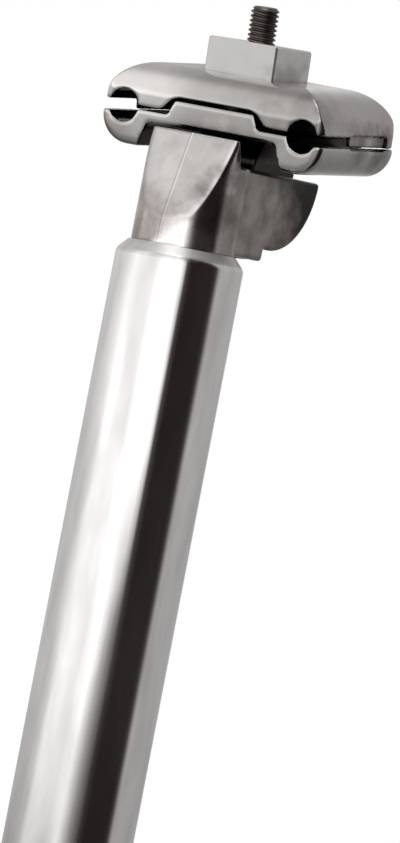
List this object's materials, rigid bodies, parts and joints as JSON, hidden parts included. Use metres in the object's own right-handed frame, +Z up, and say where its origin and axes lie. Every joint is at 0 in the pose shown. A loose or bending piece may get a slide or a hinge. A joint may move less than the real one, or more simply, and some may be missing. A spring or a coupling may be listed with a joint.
{
  "type": "bicycle seatpost",
  "caption": "Set-back bicycle seatpost: straight round tube with a forged head and a tilting clamp, opened by a bolt, that holds the saddle's rails.",
  "frame": {"origin": "on the post's axis, at the foot of the tube", "axes": "+Z up the post, +Y rearward on the bicycle (the way the clamp is set back), +X across the bicycle"},
  "size_m": [0.0538, 0.0487, 0.3254],
  "materials": {
    "polished_tube": "polished along the tube",
    "forged_head": "forged and tumbled, satin",
    "forged_clamp": "forged and polished, soft sheen",
    "plain_nut": "plain, matt",
    "black_bolt": "black oxide on steel",
    "plain_washer": "plain"
  },
  "bodies": {
    "post": {"post_tube": "polished_tube", "head": "forged_head"},
    "rocker": {"lower_clamp": "forged_clamp", "saddle_washer": "plain_washer"},
    "bolt": {"clamp_bolt": "black_bolt"},
    "top_clamp": {"upper_clamp": "forged_clamp", "clamp_nut": "plain_nut"}
  },
  "joints": [
    {"name": "clamp_tilt", "type": "hinge", "parent": "post", "child": "rocker", "pos_m": [0, 0.0191, 0.2909], "axis": [1, 0, 0], "range_deg": [-11.7, 14.8]},
    {"name": "bolt_turn", "type": "hinge", "parent": "rocker", "child": "bolt", "pos_m": [0, 0.0191, 0.2909], "axis": [0, 0.0906, -0.9959], "range_deg": [0, 2520]},
    {"name": "clamp_open", "type": "slide", "parent": "rocker", "child": "top_clamp", "axis": [0, -0.0906, 0.9959], "range_m": [0, 0.007]}
  ],
  "couplings": [
    {"joint": "bolt_turn", "follows": "clamp_open", "rad_per_m": 6283.2}
  ]
}
